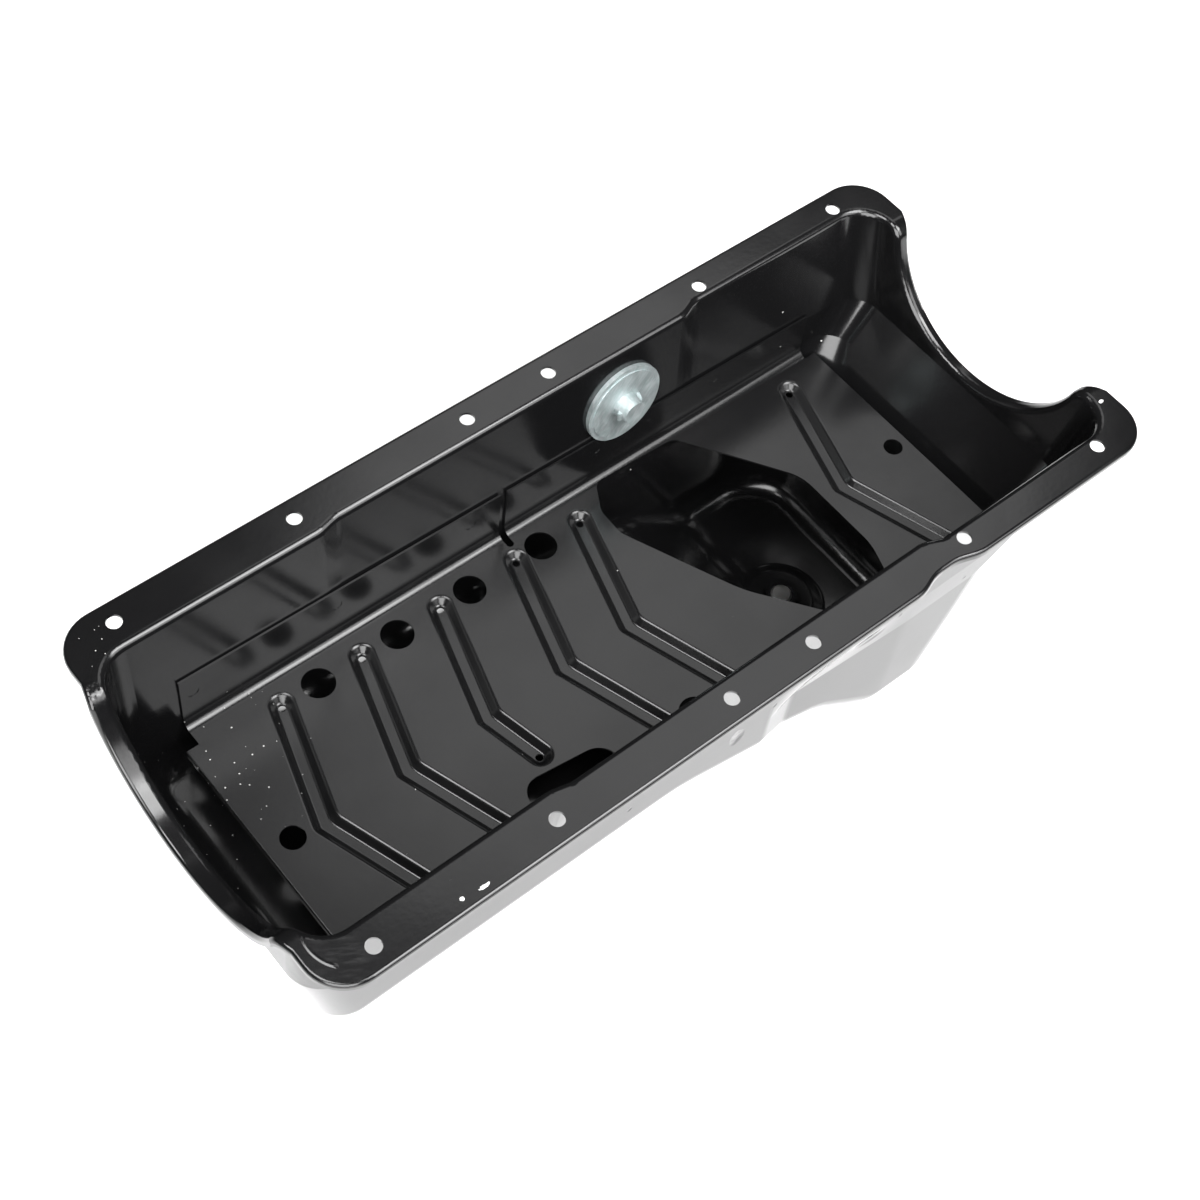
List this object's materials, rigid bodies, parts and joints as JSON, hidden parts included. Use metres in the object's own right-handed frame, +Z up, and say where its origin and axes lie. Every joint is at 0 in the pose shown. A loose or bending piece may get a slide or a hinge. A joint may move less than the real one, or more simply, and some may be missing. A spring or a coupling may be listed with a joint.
{
  "type": "engine oil pan with windage tray",
  "caption": "Pressed steel rear-sump engine oil pan with a welded windage tray, bolt rail, saddle seal ends, level port and drain plug.",
  "frame": {"origin": "centre of the rectangle of the four outermost rail bolt holes, on the rail's top sealing face", "axes": "+X along the engine towards the deep sump end, +Y across to the side with the level port, +Z up towards the engine block"},
  "size_m": [0.571, 0.2458, 0.2155],
  "materials": {
    "pan_paint": "gloss black paint",
    "tray_paint": "satin black paint",
    "zinc": "zinc plated, scuffed",
    "nut_paint": "gloss black paint",
    "plug_steel": "zinc plated",
    "washer_copper": "plain soft aluminium"
  },
  "bodies": {
    "root": {"pan_shell": "pan_paint", "windage_tray": "tray_paint", "level_port_bung": "zinc", "drain_nut": "nut_paint", "drain_washer": "washer_copper", "drain_plug": "plug_steel"}
  },
  "joints": []
}
